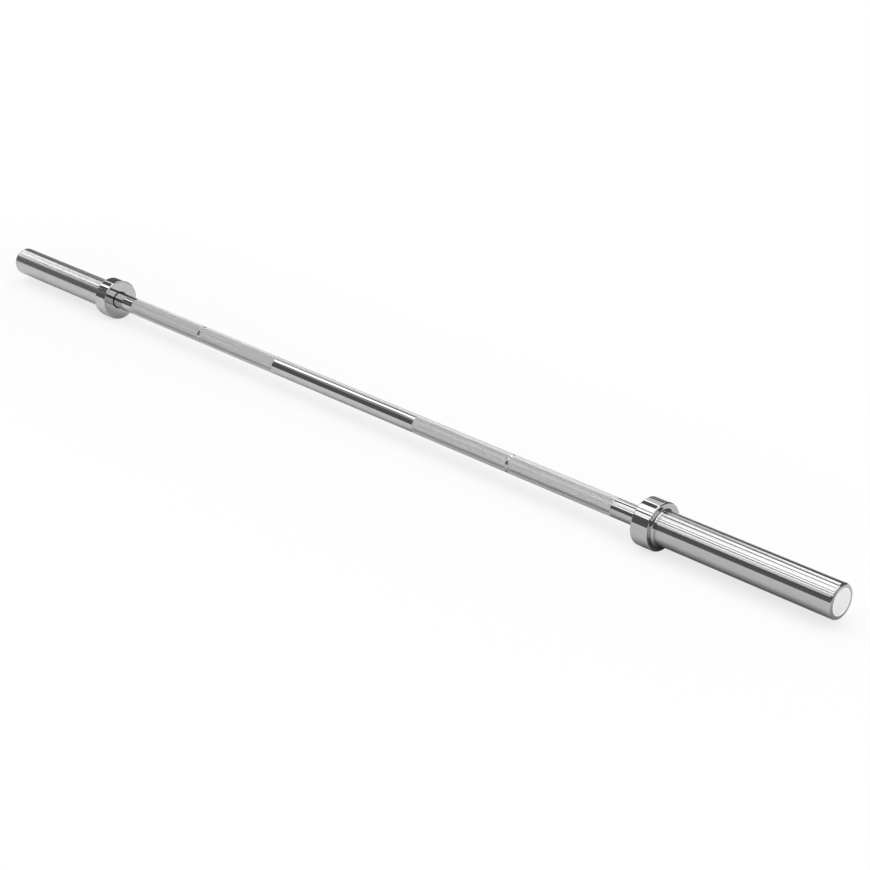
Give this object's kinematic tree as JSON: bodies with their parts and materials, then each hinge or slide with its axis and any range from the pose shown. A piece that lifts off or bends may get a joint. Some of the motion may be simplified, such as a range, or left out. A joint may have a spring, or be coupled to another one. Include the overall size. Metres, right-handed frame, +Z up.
{
  "type": "olympic barbell",
  "caption": "Straight chrome weightlifting bar: knurled steel shaft with ring marks, stop collars and plate sleeves that spin on bushes and needle bearings at both ends.",
  "frame": {"origin": "middle of the bar on its own axis", "axes": "+X along the bar towards the right-hand sleeve, +Z up, +Y away from someone who faces the bar"},
  "size_m": [1.9, 0.071, 0.071],
  "materials": {
    "shaft_chrome": "hard chrome, knurled grips",
    "polished_chrome": "mirror polished chrome",
    "thrust_steel": "ground",
    "bronze": "turned bronze",
    "bearing_steel": "ground and hardened",
    "cage_steel": "pressed sheet",
    "spring_steel": "dark oiled",
    "white_plastic": "moulded, satin",
    "white_disc": "smooth, unprinted"
  },
  "bodies": {
    "shaft": {"shaft": "shaft_chrome", "left_inner_washer": "thrust_steel", "left_outer_washer": "thrust_steel", "left_retaining_ring": "spring_steel", "right_inner_washer": "thrust_steel", "right_outer_washer": "thrust_steel", "right_retaining_ring": "spring_steel"},
    "left_sleeve": {"left_sleeve": "polished_chrome", "left_collar": "polished_chrome", "left_inner_bush": "bronze", "left_bearing_cup": "bearing_steel", "left_outer_bush": "bronze", "left_end_cap": "white_plastic", "left_end_disc": "white_disc"},
    "left_cage": {"left_bearing_cage": "cage_steel", "left_bearing_needles": "bearing_steel"},
    "right_sleeve": {"right_sleeve": "polished_chrome", "right_collar": "polished_chrome", "right_inner_bush": "bronze", "right_bearing_cup": "bearing_steel", "right_outer_bush": "bronze", "right_end_cap": "white_plastic", "right_end_disc": "white_disc"},
    "right_cage": {"right_bearing_cage": "cage_steel", "right_bearing_needles": "bearing_steel"}
  },
  "joints": [
    {"name": "left_sleeve_spin", "type": "hinge", "parent": "shaft", "child": "left_sleeve", "pos_m": [-0.7825, 0, 0], "axis": [1, 0, 0], "continuous": true},
    {"name": "left_cage_spin", "type": "hinge", "parent": "shaft", "child": "left_cage", "pos_m": [-0.6901, 0, 0], "axis": [1, 0, 0], "continuous": true},
    {"name": "right_sleeve_spin", "type": "hinge", "parent": "shaft", "child": "right_sleeve", "pos_m": [0.7825, 0, 0], "axis": [1, 0, 0], "continuous": true},
    {"name": "right_cage_spin", "type": "hinge", "parent": "shaft", "child": "right_cage", "pos_m": [0.6901, 0, 0], "axis": [1, 0, 0], "continuous": true}
  ],
  "couplings": [
    {"joint": "left_cage_spin", "follows": "left_sleeve_spin", "ratio": 0.54545},
    {"joint": "right_cage_spin", "follows": "right_sleeve_spin", "ratio": 0.54545}
  ]
}
